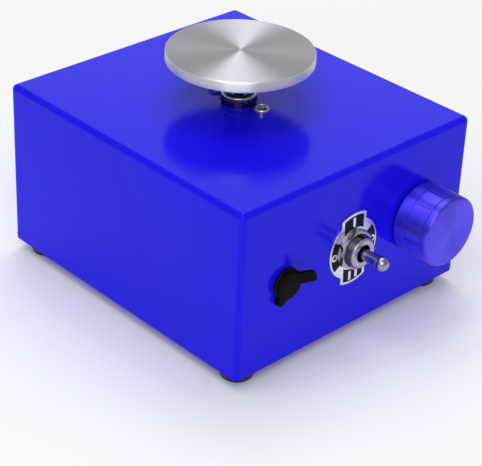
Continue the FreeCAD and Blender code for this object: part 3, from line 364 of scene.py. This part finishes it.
def make_materials():
    """One finish for each material slot of the record."""
    blank = (1, 1, 1)
    along_z = (1, 1, 0.04)
    return {
        "case_coat": coated("blue_powder_coat", BLUE),
        "foot_rubber": moulded("foot_rubber", (0.010, 0.009, 0.016), 0.35, 0.00001, 1200),
        "zinc_screw": metal("bright_zinc", (0.62, 0.62, 0.66), 0.16, blank, 1400),
        # the disc's rim colour is a painted highlight, brighter than the face and yellowed to
        # offset reflected blue
        "wheel_aluminium": turned_metal(
            "turned_aluminium", (0.50, 0.495, 0.54), 0.42, "Z", WHEEL_CENTRE, 0.0004, 0.000002,
            0.95, edge=0.0321, rim_highlight_colour=(0.92, 0.91, 0.82)),
        "hub_steel": metal("blackened_steel", (0.10, 0.09, 0.15), 0.16, blank, 1200),
        # painted highlight: this steel's colour is raised so the boss lip, in the disc's shade,
        # reads bright
        "motor_steel": turned_metal(
            "motor_steel_painted_bright", (0.90, 0.90, 0.94), 0.26, "Z", WHEEL_CENTRE, 0.0006, 0.000004),
        "flux_steel": metal("black_zinc", (0.11, 0.10, 0.15), 0.32, blank, 700),
        "magnet_ferrite": moulded("ferrite", (0.030, 0.030, 0.034), 0.55, 0.00004, 900),
        "motor_plastic": moulded("black_nylon", (0.015, 0.015, 0.016), 0.42),
        "bearing_steel": metal("ground_steel", (0.74, 0.74, 0.76), 0.14, along_z, 1500, 0.000001),
        "bronze": metal("sintered_bronze", (0.42, 0.26, 0.11), 0.45, blank, 1300, 0.00001),
        "brass": metal("stamped_brass", (0.74, 0.54, 0.22), 0.27, blank, 800),
        "carbon": moulded("pressed_carbon", (0.012, 0.012, 0.013), 0.62, 0.00002),
        "core_steel": core_material(),
        "copper": winding_material(),
        "knob_anodised": turned_metal(
            "blue_anodised_aluminium", (0.115, 0.08, 0.93), 0.36, "Y", KNOB_CENTRE, 0.0003,
            0.000002, 0.9),
        "knob_core": moulded("black_abs", (0.018, 0.018, 0.018), 0.40),
        "pot_metal": metal("die_cast_zinc", (0.52, 0.52, 0.54), 0.38, blank, 700, 0.000008),
        "nickel": metal("satin_nickel", (0.44, 0.42, 0.52), 0.32, blank, 1300, 0.000002),
        "switch_plastic": moulded("black_phenolic", (0.004, 0.003, 0.007), 0.4, specular=0.1),
        "legend_metal": metal("satin_legend_plate", (0.82, 0.81, 0.90), 0.30, (0.04, 1, 1), 1500),
        "lever_chrome": metal("chromed_lever", (0.36, 0.33, 0.46), 0.20, blank, 300, 0.000001,
                              0.03),
        "socket_plastic": moulded("black_socket", (0.005, 0.004, 0.007), 0.34, specular=0.12),
        "cap_rubber": moulded("black_rubber", (0.0018, 0.0016, 0.0024), 0.5, 0.00002, 1300,
                              specular=0.05),
        "board_laminate": board_material(),
        "terminal_plastic": moulded("green_terminal", (0.02, 0.16, 0.36), 0.35),
        "header_plastic": moulded("natural_nylon", (0.78, 0.76, 0.68), 0.42),
        "sink_aluminium": metal("black_anodised", (0.045, 0.045, 0.05), 0.40, along_z, 900),
        "chip_plastic": moulded("black_epoxy", (0.016, 0.016, 0.017), 0.50, 0.00002),
        "capacitor_sleeve": moulded("dark_sleeve", (0.020, 0.024, 0.075), 0.28, coat=0.3),
        "wire_red": moulded("red_insulation", (0.50, 0.014, 0.010), 0.36),
        "wire_black": moulded("black_insulation", (0.012, 0.012, 0.012), 0.36),
        "wire_white": moulded("white_insulation", (0.74, 0.72, 0.66), 0.38),
    }


def finish_nodes(finish):
    """Gives every CAD node its slot's finish."""
    for part in frame["record"]["subparts"]:
        node = frame["nodes"][part["node"]]
        node.data.materials.clear()
        node.data.materials.append(finish[part["material_slot"]])
        for face in node.data.polygons:
            face.material_index = 0


# ---------------------------------------------------------------- mesh helpers
def add_object(name, mesh, smooth_angle):
    item = bpy.data.objects.new(name, mesh)
    bpy.context.collection.objects.link(item)
    mesh.shade_smooth()
    mesh.set_sharp_from_angle(angle=math.radians(smooth_angle))
    return item


def finish_piece(item, body, slot, finish, *nodes):
    """Colours a piece, makes it ride with a body and stand for the named nodes."""
    item.data.materials.clear()
    item.data.materials.append(finish[slot])
    if body:
        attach(item, body)
    if nodes:
        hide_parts(*nodes)


def spread(step, *extra):
    """Angles in degrees round a full turn at this step, with more where detail needs them."""
    angles = {round(number * step, 4) for number in range(int(360 / step))}
    return sorted(angles | {round(angle % 360, 4) for angle in extra})


def lathe(bm, profile, angles=None, shape=None, closed=False):
    """Revolves (radius, height) pairs in mm about Z, through a full turn.
    shape(angle, radius, height) may give another radius, for flats, tabs, grooves or a thread."""
    angles = angles or spread(2.5)
    rings = []
    for radius, height in profile:
        if radius < 1e-6:
            rings.append([bm.verts.new((0, 0, height * MM))])
            continue
        ring = []
        for angle in angles:
            reach = shape(angle, radius, height) if shape else radius
            turn = math.radians(angle)
            ring.append(bm.verts.new((reach * math.cos(turn) * MM, reach * math.sin(turn) * MM,
                                      height * MM)))
        rings.append(ring)
    following = rings[1:] + ([rings[0]] if closed else [])
    for low, high in zip(rings, following):
        for index in range(len(angles)):
            second = (index + 1) % len(angles)
            corners = []
            for ring, place in ((low, index), (low, second), (high, second), (high, index)):
                vert = ring[0] if len(ring) == 1 else ring[place]
                if vert not in corners:
                    corners.append(vert)
            if len(corners) > 2:
                bm.faces.new(corners)


def prism(bm, outline, low, high):
    """Extrudes a closed outline of (x, y) points in mm."""
    floor = [bm.verts.new((x * MM, y * MM, low * MM)) for x, y in outline]
    roof = [bm.verts.new((x * MM, y * MM, high * MM)) for x, y in outline]
    bm.faces.new(floor[::-1])
    bm.faces.new(roof)
    for index in range(len(outline)):
        second = (index + 1) % len(outline)
        bm.faces.new((floor[index], floor[second], roof[second], roof[index]))


def to_mesh(bm, name):
    bmesh.ops.remove_doubles(bm, verts=bm.verts, dist=1e-7)
    bmesh.ops.recalc_face_normals(bm, faces=bm.faces)
    mesh = bpy.data.meshes.new(name)
    bm.to_mesh(mesh)
    bm.free()
    return mesh


def on_panel(spot, lean=0.0):
    """Local +Z points out of the control panel, and local +Y up."""
    return (Matrix.Translation((spot[0] * MM, PANEL_Y * MM, spot[1] * MM))
            @ Matrix.Rotation(math.radians(90), 4, "X")
            @ Matrix.Rotation(math.radians(lean), 4, "Z"))


def on_axis(height):
    """Local +Z is the wheel's axis."""
    return Matrix.Translation((0, AXIS_Y * MM, height * MM))


def settle(mesh, matrix):
    mesh.transform(matrix)
    mesh.update()
    return mesh


def add_piece(name, bm, place, smooth_angle=35):
    """Turns finished mesh code into an object that stands at a place on the wheel."""
    return add_object(name, settle(to_mesh(bm, name), place), smooth_angle)


# ---------------------------------------------------------------- wheel and motor
def make_wheel_disc(finish):
    """Turned disc with a broken edge, a centre dimple and a relieved underside."""
    bm = bmesh.new()
    lathe(bm, [(0, 4.85), (0.2, 4.87), (0.35, 5.0), (6, 5.0), (18, 5.0), (30, 5.0), (31.75, 5.0),
               (32.02, 4.95), (32.3, 4.72), (32.46, 4.42), (32.5, 4.1), (32.5, 2.5), (32.5, 0.8),
               (32.44, 0.45), (32.25, 0.15), (31.95, 0.0), (30.4, 0.0), (30.1, 0.25), (12.4, 0.25),
               (12.1, 0.0), (0, 0.0)], spread(1.5))
    disc = add_piece("wheel_disc", bm, on_axis(HEAD_UNDER), 25)
    finish_piece(disc, "wheel", "wheel_aluminium", finish, "wheel_head")


def make_boss(finish):
    """Bright rolled lip on the motor's boss, a blackened collar round it, and the dark washer
    that covers the bearing. The lip's steel colour is raised, a painted highlight; the collar and
    the washer are painted shade, dark pieces that stand in for the shade under the disc."""
    bm = bmesh.new()
    lip = [(7.25 + 0.6 * math.cos(turn), -0.1 + 0.6 * math.sin(turn))
           for turn in (math.radians(30 * step) for step in range(12))]
    lathe(bm, lip, spread(3), closed=True)
    piece = add_piece("boss_lip", bm, on_axis(BOSS_TOP), 60)
    finish_piece(piece, "case", "motor_steel", finish)
    # painted shade: a blackened collar stands in for the shade on the boss's side
    bm = bmesh.new()
    lathe(bm, [(7.92, -3.9), (7.92, -2.2), (7.65, -0.75), (7.72, -0.62), (7.86, -0.68),
               (8.05, -2.0), (8.08, -2.3), (8.08, -3.9)], spread(3), closed=True)
    piece = add_piece("painted_shade_collar", bm, on_axis(BOSS_TOP), 40)
    finish_piece(piece, "case", "hub_steel", finish)
    # painted shade: a dark washer stands in for the shade in the bearing recess
    bm = bmesh.new()
    lathe(bm, [(3.2, -0.85), (3.2, -0.45), (3.4, -0.32), (6.5, -0.32), (6.98, -0.5),
               (6.98, -0.85)], spread(3), closed=True)
    piece = add_piece("painted_shade_washer", bm, on_axis(BOSS_TOP), 40)
    finish_piece(piece, "case", "switch_plastic", finish)


def crossed(x, y, reach, width):
    """How deep a point lies in a cross recess: 0 outside it, 1 at its floor."""
    inside = min(reach - max(abs(x), abs(y)), width - min(abs(x), abs(y)))
    return max(0.0, min(1.0, inside / 0.2))


def screw_head(bm, radius, height, spot=(0, 0)):
    """Pan head with a cross recess, on a short shank. spot is its place, in mm."""
    start = len(bm.verts)
    outline = [(0, height), (radius * 0.5, height * 0.99), (radius * 0.78, height * 0.95),
               (radius * 0.9, height * 0.86), (radius * 0.97, height * 0.7),
               (radius, height * 0.5)]
    fine = []
    for (r1, h1), (r2, h2) in zip(outline, outline[1:]):
        count = max(2, round((r2 - r1) / 0.12))
        fine += [(r1 + (r2 - r1) * t / count, h1 + (h2 - h1) * t / count) for t in range(count)]
    lathe(bm, fine + [outline[-1], (radius, 0.1), (radius - 0.1, 0), (radius * 0.5, 0),
                      (radius * 0.5, -2.0), (0, -2.0)], spread(3))
    bm.verts.ensure_lookup_table()
    for vert in bm.verts[start:]:
        x, y, z = (number / MM for number in vert.co)
        if z > height * 0.6:
            vert.co.z -= crossed(x, y, radius * 0.8, radius * 0.28) * height * 0.75 * MM
        vert.co.x += spot[0] * MM
        vert.co.y += spot[1] * MM


def make_motor_screws(finish):
    bm = bmesh.new()
    for spot in ((0, -MOTOR_SCREW_REACH), (0, MOTOR_SCREW_REACH)):
        screw_head(bm, 3.45, 2.35, spot)
    piece = add_piece("motor_screw_heads", bm, on_axis(CASE_TOP))
    finish_piece(piece, "case", "zinc_screw", finish, "motor_screws")


# ---------------------------------------------------------------- speed knob
def make_knob(finish):
    """Turned shell: two ring grooves, and 12 narrow axial grooves in the belt between them."""
    back, front, radius, groove = 1.3, 19.6, 16.0, 0.36
    low, high = 6.7, 16.2
    middles = [30 * number + 8 for number in range(12)]

    def grooved(angle, reach, height):
        if reach < radius - 0.02 or not low + 0.85 < height < high - 0.85:
            return reach
        offset = min(abs((angle - middle + 180) % 360 - 180) for middle in middles)
        return reach - (0.42 if offset < 0.9 else 0.0)

    edges = [middle + side * offset for middle in middles for side in (-1, 1)
             for offset in (0.85, 1.2)]
    profile = [(11.3, back + 2.6), (11.3, back), (radius - 0.3, back), (radius, back + 0.3)]
    for ring in (low, high):
        profile += [(radius, ring - 0.32), (radius - groove, ring - 0.14),
                    (radius - groove, ring + 0.14), (radius, ring + 0.32)]
        if ring == low:
            profile += [(radius, low + 0.8), (radius, low + 0.9), (radius, high - 0.9),
                        (radius, high - 0.8)]
    profile += [(radius, front - 1.2), (radius - 0.12, front - 0.7), (radius - 0.45, front - 0.3),
                (radius - 0.85, front - 0.08), (radius - 1.3, front), (9, front), (0.0, front)]
    bm = bmesh.new()
    lathe(bm, profile, spread(3, *edges), grooved)
    shell = add_piece("knob_grip", bm, on_panel(KNOB), 30)
    finish_piece(shell, "knob", "knob_anodised", finish, "knob_shell")


# ---------------------------------------------------------------- toggle switch
def tabbed(angle, radius, _):
    """The legend plate's outline: a disc with an upper and a lower tab."""
    if radius < 12:
        return radius
    side = abs(math.cos(math.radians(angle)))
    reach = LEGEND_RADIUS
    if side * LEGEND_RADIUS <= LEGEND_TAB_HALF:
        reach = min(LEGEND_TAB_REACH, LEGEND_TAB_HALF / max(side, 1e-6))
    return reach - (LEGEND_RADIUS - radius)


def hexagonal(across):
    """Cuts a ring down to a hexagon of this size across its flats."""
    def shape(angle, radius, _):
        flat = math.radians((angle + 30) % 60 - 30)
        return min(radius, across / 2 / math.cos(flat))
    return shape


def boxed(width, height):
    """Draws a ring of radius BOX_REACH in to a rectangle, and leaves the bore round."""
    def shape(angle, radius, _):
        if radius < 5:
            return radius
        turn = math.radians(angle)
        return min(width / 2 / max(abs(math.cos(turn)), 1e-6),
                   height / 2 / max(abs(math.sin(turn)), 1e-6)) - (BOX_REACH - radius)
    return shape


def arc(radius, first, last, steps=10):
    """Points on an arc about the origin, between two angles in degrees."""
    return [(radius * math.cos(math.radians(first + (last - first) * step / steps)),
             radius * math.sin(math.radians(first + (last - first) * step / steps)))
            for step in range(steps + 1)]


def tab_cell(side):
    """Dark field of a tab, between two arcs and two straight sides. side is 1 above, -1 below."""
    half_width, far, near = 5.7, 15.9, 9.9
    outer, inner = (math.degrees(math.acos(half_width / radius)) for radius in (far, near))
    points = arc(far, outer, 180 - outer) + arc(near, 180 - inner, inner)
    return [(x, side * y) for x, y in points][::side]


def make_legend(finish):
    """Plate, its dark fields, and plain marks: a stroke above, two below, a ring at each side."""
    corners = [math.degrees(math.acos(LEGEND_TAB_HALF / reach))
               for reach in (LEGEND_RADIUS, LEGEND_TAB_REACH)]
    bends = [turn + half for half in (0, 180) for angle in corners
             for turn in (angle, 180 - angle)]
    turned = on_panel(SWITCH, LEGEND_TURN)
    bm = bmesh.new()
    lathe(bm, [(7.35, 0.0), (LEGEND_RADIUS - 0.1, 0.0), (LEGEND_RADIUS, 0.1),
               (LEGEND_RADIUS, LEGEND_FACE - 0.12), (LEGEND_RADIUS - 0.12, LEGEND_FACE),
               (7.5, LEGEND_FACE), (7.35, LEGEND_FACE - 0.15)],
          spread(3, *bends), tabbed, closed=True)
    plate = add_piece("legend_plate", bm, turned, 30)
    finish_piece(plate, "case", "legend_metal", finish, "switch_plate")

    bm = bmesh.new()
    low, high = LEGEND_FACE - 0.04, LEGEND_FACE + 0.04
    for side in (1, -1):
        prism(bm, tab_cell(side), low, high)
        middle = 90 - 90 * side
        prism(bm, arc(13.2, middle - 33, middle + 33) + arc(9.4, middle + 33, middle - 33),
              low, high)
    cells = add_piece("legend_fields", bm, turned)
    finish_piece(cells, "case", "switch_plastic", finish)

    bm = bmesh.new()
    low, high = LEGEND_FACE, LEGEND_FACE + 0.1
    half_width, half_height = 0.75, 2.2
    for x, y in ((0, 12.9), (-1.9, -12.9), (1.9, -12.9)):
        prism(bm, [(x - half_width, y - half_height), (x + half_width, y - half_height),
                   (x + half_width, y + half_height), (x - half_width, y + half_height)],
              low, high)
    for side in (-1, 1):
        start = len(bm.verts)
        lathe(bm, [(0.85, low), (1.75, low), (1.75, high), (0.85, high)], spread(15), closed=True)
        bm.verts.ensure_lookup_table()
        for vert in bm.verts[start:]:
            vert.co.x += side * 11.35 * MM
    marks = add_piece("legend_marks", bm, turned)
    finish_piece(marks, "case", "legend_metal", finish)


def make_switch_fasteners(finish):
    bm = bmesh.new()
    lathe(bm, [(7.36, 0.82), (8.65, 0.82), (8.8, 0.95), (8.8, 1.15), (8.65, 1.28), (7.36, 1.28)],
          spread(4), closed=True)
    washer = add_piece("lock_washer", bm, on_panel(SWITCH), 30)
    finish_piece(washer, "case", "nickel", finish, "switch_washer")
    bm = bmesh.new()
    profile = [(7.3, 1.3), (9.5, 1.3), (9.75, 1.45), (9.82, 1.6), (9.82, 2.55), (9.6, 2.75),
               (9.3, 2.95), (8.95, 3.1), (8.55, 3.22), (8.2, 3.28), (7.6, 3.28), (7.3, 3.0)]
    lathe(bm, profile, spread(3, *[60 * number + 30 for number in range(6)]), hexagonal(17),
          closed=True)
    nut = add_piece("ring_nut", bm, on_panel(SWITCH), 25)
    finish_piece(nut, "case", "nickel", finish, "switch_nut")


def make_switch_bushing(finish):
    """Threaded barrel with a keyway along its top and a narrow bright end."""
    pitch, depth = 0.62, 0.16

    def threaded(angle, radius, height):
        if radius < 7.1:
            return radius
        if abs((angle - 90 + 180) % 360 - 180) < 6.4 and height > 1.2:
            return radius - 0.85
        phase = (height / pitch - angle / 360) % 1
        return radius - depth * abs(2 * phase - 1)

    rows = [(BARREL_RADIUS, height / 100) for height in range(-110, 586, 12)]
    profile = [(BARREL_BORE, -2.2), (7.0, -2.2), (7.05, -1.2)] + rows
    profile += [(6.9, 6.0), (6.4, 6.15), (BARREL_BORE, 6.15)]
    keyway = [90 + side * offset for side in (-1, 1) for offset in (6.2, 6.6)]
    bm = bmesh.new()
    lathe(bm, profile, spread(3, *keyway), threaded, closed=True)
    width, height = SWITCH_BODY
    corner = math.degrees(math.atan2(height, width))
    lathe(bm, [(BARREL_BORE, -2.2), (BOX_REACH, -2.2), (BOX_REACH, -1.2), (BARREL_BORE, -1.2)],
          spread(5, corner, 180 - corner, 180 + corner, -corner), boxed(width, height),
          closed=True)
    barrel = add_piece("threaded_barrel", bm, on_panel(SWITCH))
    finish_piece(barrel, "case", "flux_steel", finish, "switch_bushing")
    bm = bmesh.new()
    lathe(bm, [(3.9, 6.05), (4.4, 5.9), (6.3, 6.05), (6.85, 6.1), (6.8, 6.3), (6.55, 6.55),
               (6.25, 6.72), (5.9, 6.8), (4.3, 6.8), (4.0, 6.7), (3.9, 6.5)],
          spread(3), closed=True)
    rim = add_piece("barrel_rim", bm, on_panel(SWITCH), 50)
    finish_piece(rim, "case", "nickel", finish)


def make_lever(finish):
    """Bat lever: ball in the barrel, tapered stem and a rounded, slightly swollen tip."""
    pivot, end, tip = 1.5, 20.0, 3.2
    profile = [(0, pivot - 9), (0.8, pivot - 9), (0.95, pivot - 8.8), (1.4, pivot - 4.2)]
    profile += [(4.15 * math.cos(math.radians(turn)), pivot + 4.15 * math.sin(math.radians(turn)))
                for turn in range(-68, 60, 8)]
    profile += [(2.5, pivot + 3.6), (2.5, 6.4), (2.55, 9.0), (2.65, 12.0), (2.8, 14.6),
                (3.0, 15.6)]
    middle = end - tip
    profile += [(tip * math.cos(math.radians(turn)), middle + tip * math.sin(math.radians(turn)))
                for turn in range(-15, 90, 7)]
    profile += [(0, end)]
    bm = bmesh.new()
    lathe(bm, profile, spread(5))
    lever = add_piece("bat_lever", bm, on_panel(SWITCH), 50)
    finish_piece(lever, "lever", "lever_chrome", finish, "switch_lever")


# ---------------------------------------------------------------- rubber cap and feet
def remeshed(bm, name, voxel, passes):
    """Melts overlapping solids into one skin and softens it, as moulded rubber is."""
    mesh = to_mesh(bm, name + "_blank")
    blank = bpy.data.objects.new(name + "_blank", mesh)
    bpy.context.collection.objects.link(blank)
    change = blank.modifiers.new("skin", "REMESH")
    change.mode = "VOXEL"
    change.voxel_size = voxel * MM
    smooth = blank.modifiers.new("soften", "SMOOTH")
    smooth.factor = 0.5
    smooth.iterations = passes
    view = bpy.context.evaluated_depsgraph_get()
    result = bpy.data.meshes.new_from_object(blank.evaluated_get(view))
    bpy.data.objects.remove(blank)
    result.name = name
    return result


def make_cap(finish):
    """One soft skin: the ring under the socket's flange, the strap, the crowned cap and its tab.
    The cap's plug is a second piece."""
    bm = bmesh.new()
    lathe(bm, [(6.02, 0.02), (7.1, 0.02), (7.1, 0.55), (6.02, 0.55)], spread(6), closed=True)
    for x1, x2, z1, z2 in ((-9.7, -6.3, 0.02, 0.58), (-9.7, -8.5, 0.02, 2.5),
                           (-9.7, -4.0, 1.75, 2.65)):
        prism(bm, [(x1, -1.0), (x1 + 0.5, -1.7), (x1 + 1.2, -2.0), (x2, -2.2), (x2, 2.2),
                   (x1 + 1.2, 2.0), (x1 + 0.5, 1.7), (x1, 1.0)], z1, z2)
    top = CAP_UNDER + CAP_THICKNESS
    lathe(bm, [(0, CAP_UNDER), (6.7, CAP_UNDER), (7.0, CAP_UNDER + 0.3), (7.0, top - 0.8),
               (6.6, top - 0.3), (5.6, top), (3.2, top + 0.22), (0, top + 0.3)], spread(6))
    start = len(bm.verts)
    prism(bm, [(-0.1, -3.3), (3.0, -3.1), (6.9, -2.9), (7.9, -2.1), (8.3, 0), (7.9, 2.1),
               (6.9, 2.9), (3.0, 3.1), (-0.1, 3.3)], 0.0, CAP_THICKNESS)
    tilt = (Matrix.Rotation(math.radians(TAB_TURN), 4, "Z")
            @ Matrix.Translation((5.0 * MM, 0, (CAP_UNDER + 0.2) * MM))
            @ Matrix.Rotation(math.radians(-TAB_RISE), 4, "Y"))
    bm.verts.ensure_lookup_table()
    for vert in bm.verts[start:]:
        vert.co = tilt @ vert.co
    place = on_panel(SOCKET, CAP_LEAN)
    mesh = settle(remeshed(bm, "rubber_cap", 0.22, 6), place)
    cap = add_object("rubber_cap", mesh, 180)
    finish_piece(cap, None, "cap_rubber", finish, "dc_cap", "dc_cap_ring")
    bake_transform(cap)
    bm = bmesh.new()
    lathe(bm, [(0, -0.1), (2.0, -0.1), (2.3, 0.1), (2.35, 0.4), (2.3, 1.2), (2.5, 1.72),
               (0, 1.72)], spread(6))
    plug = add_piece("cap_plug", bm, place, 40)
    finish_piece(plug, "cap", "cap_rubber", finish)


def make_feet(finish):
    for name in ("foot_front_left", "foot_front_right", "foot_rear_left", "foot_rear_right"):
        low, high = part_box(name)
        middle = (Vector(low) + Vector(high)) / 2
        radius, height = (high[0] - low[0]) / 2 / MM, (high[2] - low[2]) / MM
        bm = bmesh.new()
        lathe(bm, [(2.9, 2.0), (2.9, 0.35), (3.2, 0.0), (radius - 1.3, 0.0), (radius - 0.75, 0.12),
                   (radius - 0.4, 0.5), (radius - 0.2, height * 0.5),
                   (radius - 0.12, height * 0.5), (radius - 0.12, height * 0.5 + 0.2),
                   (radius, height - 0.25),
                   (radius - 0.2, height), (2.2, height), (2.2, 2.0)], spread(5), closed=True)
        spot = Matrix.Translation((middle.x, middle.y, low[2]))
        foot = add_piece("rubber_" + name, bm, spot, 40)
        finish_piece(foot, "case", "foot_rubber", finish, name)


# ---------------------------------------------------------------- build
set_camera()
set_studio()
finish = make_materials()
finish_nodes(finish)
make_wheel_disc(finish)
make_boss(finish)
make_motor_screws(finish)
make_knob(finish)
make_legend(finish)
make_switch_fasteners(finish)
make_switch_bushing(finish)
make_lever(finish)
make_cap(finish)
make_feet(finish)
